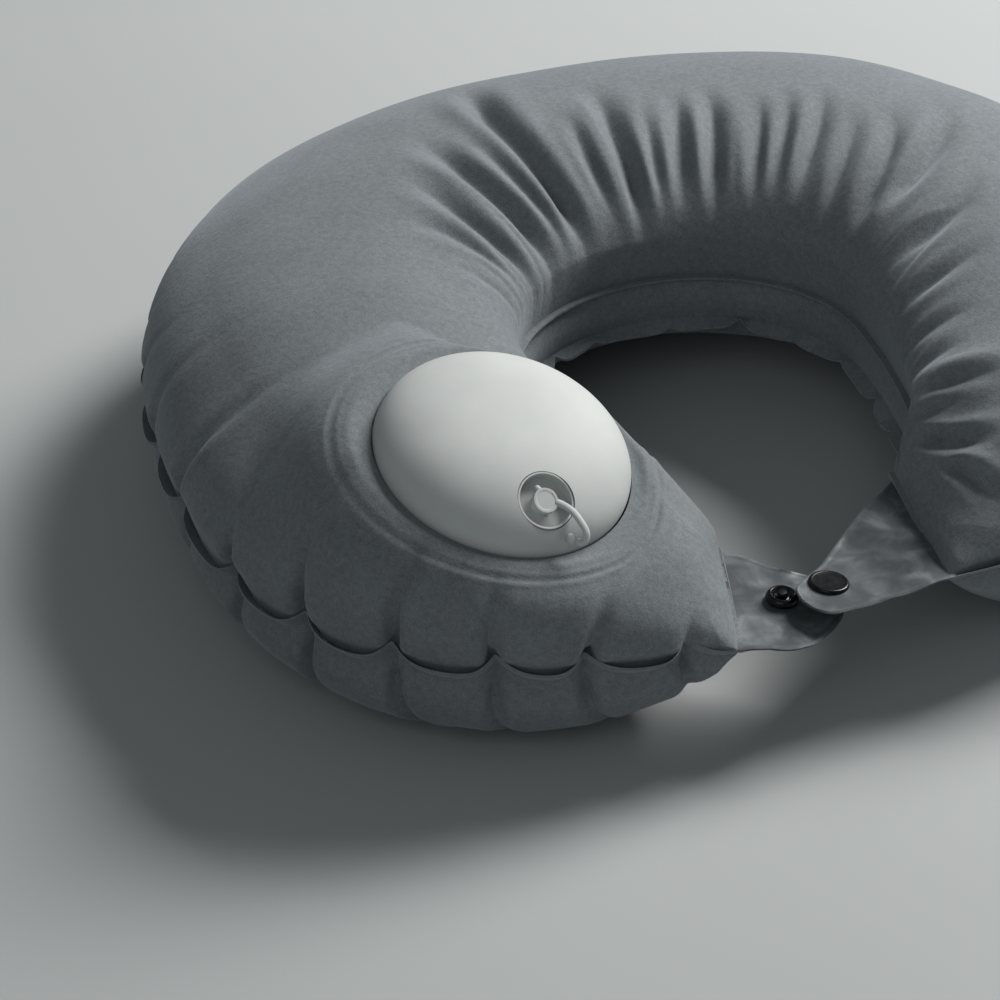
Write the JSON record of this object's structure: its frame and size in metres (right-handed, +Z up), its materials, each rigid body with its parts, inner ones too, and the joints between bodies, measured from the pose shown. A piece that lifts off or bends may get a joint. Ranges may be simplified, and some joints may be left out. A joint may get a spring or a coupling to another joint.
{
  "type": "u shaped neck pillow",
  "caption": "Inflatable U-shaped travel neck pillow with a press-to-inflate pump dome, tethered air plug and snap-fastened front tabs.",
  "frame": {"origin": "centre of the bounding box in plan, on the surface the pillow lies on", "axes": "+Z up out of the pillow's top panel, +Y towards the closed back of the U, +X towards the wearer's right-hand lobe when looking along +Y, so the pump is on the -X side"},
  "size_m": [0.392, 0.353, 0.1103],
  "materials": {
    "flocked_film": "flocked PVC film, short dense velour pile, cool grey",
    "moulded_bulb": "soft moulded PVC, satin, light grey",
    "moulded_tray": "soft moulded PVC, mid grey",
    "flap_film": "thin PVC film",
    "open_cell_foam": "open-cell polyurethane foam",
    "snap_plastic": "moulded acetal, glossy, near black"
  },
  "bodies": {
    "root": {"top_panel": "flocked_film", "bottom_panel": "flocked_film", "inner_gusset": "flocked_film", "pump_flange": "moulded_bulb", "pump_tray": "moulded_tray", "pump_foam": "open_cell_foam", "outlet_valve_body": "moulded_tray"},
    "pump_crown": {"pump_bulb": "moulded_bulb", "inlet_cup": "moulded_bulb", "tether_anchor": "moulded_bulb", "plug_tether": "moulded_bulb"},
    "plug": {"inlet_plug": "moulded_bulb"},
    "inlet_flap": {"inlet_flap": "flap_film"},
    "outlet_flap": {"outlet_valve_flap": "flap_film"},
    "left_tab": {"left_tab": "flocked_film", "snap_stud": "snap_plastic", "stud_back_cap": "snap_plastic"},
    "right_tab": {"right_tab": "flocked_film", "snap_cap": "snap_plastic", "snap_socket": "snap_plastic"}
  },
  "joints": [
    {"name": "pump_press", "type": "slide", "parent": "root", "child": "pump_crown", "axis": [-0.1687, 0.2723, -0.9473], "range_m": [0, 0.0086], "stiffness_N_per_m": 900, "deforming": ["pump_foam"]},
    {"name": "plug_pull", "type": "slide", "parent": "pump_crown", "child": "plug", "axis": [0.1611, -0.6419, 0.7497], "range_m": [0, 0.009], "deforming": ["plug_tether"]},
    {"name": "inlet_flap_bend", "type": "hinge", "parent": "pump_crown", "child": "inlet_flap", "pos_m": [-0.09905, -0.12823, 0.08723], "axis": [0.9855, 0.0638, -0.1572], "range_deg": [0, 30], "stiffness_Nm_per_rad": 0.002},
    {"name": "outlet_flap_bend", "type": "hinge", "parent": "root", "child": "outlet_flap", "pos_m": [-0.09728, -0.09779, 0.0707], "axis": [-0.0477, -0.9622, -0.2681], "range_deg": [0, 30], "stiffness_Nm_per_rad": 0.002},
    {"name": "left_tab_flex", "type": "hinge", "parent": "root", "child": "left_tab", "pos_m": [-0.03054, -0.14393, 0.03705], "axis": [0.2792, 0.9602, 0], "range_deg": [0, 35], "stiffness_Nm_per_rad": 0.08},
    {"name": "right_tab_flex", "type": "hinge", "parent": "root", "child": "right_tab", "pos_m": [0.03054, -0.14393, 0.03935], "axis": [-0.2792, 0.9602, 0], "range_deg": [0, 75], "stiffness_Nm_per_rad": 0.05}
  ]
}
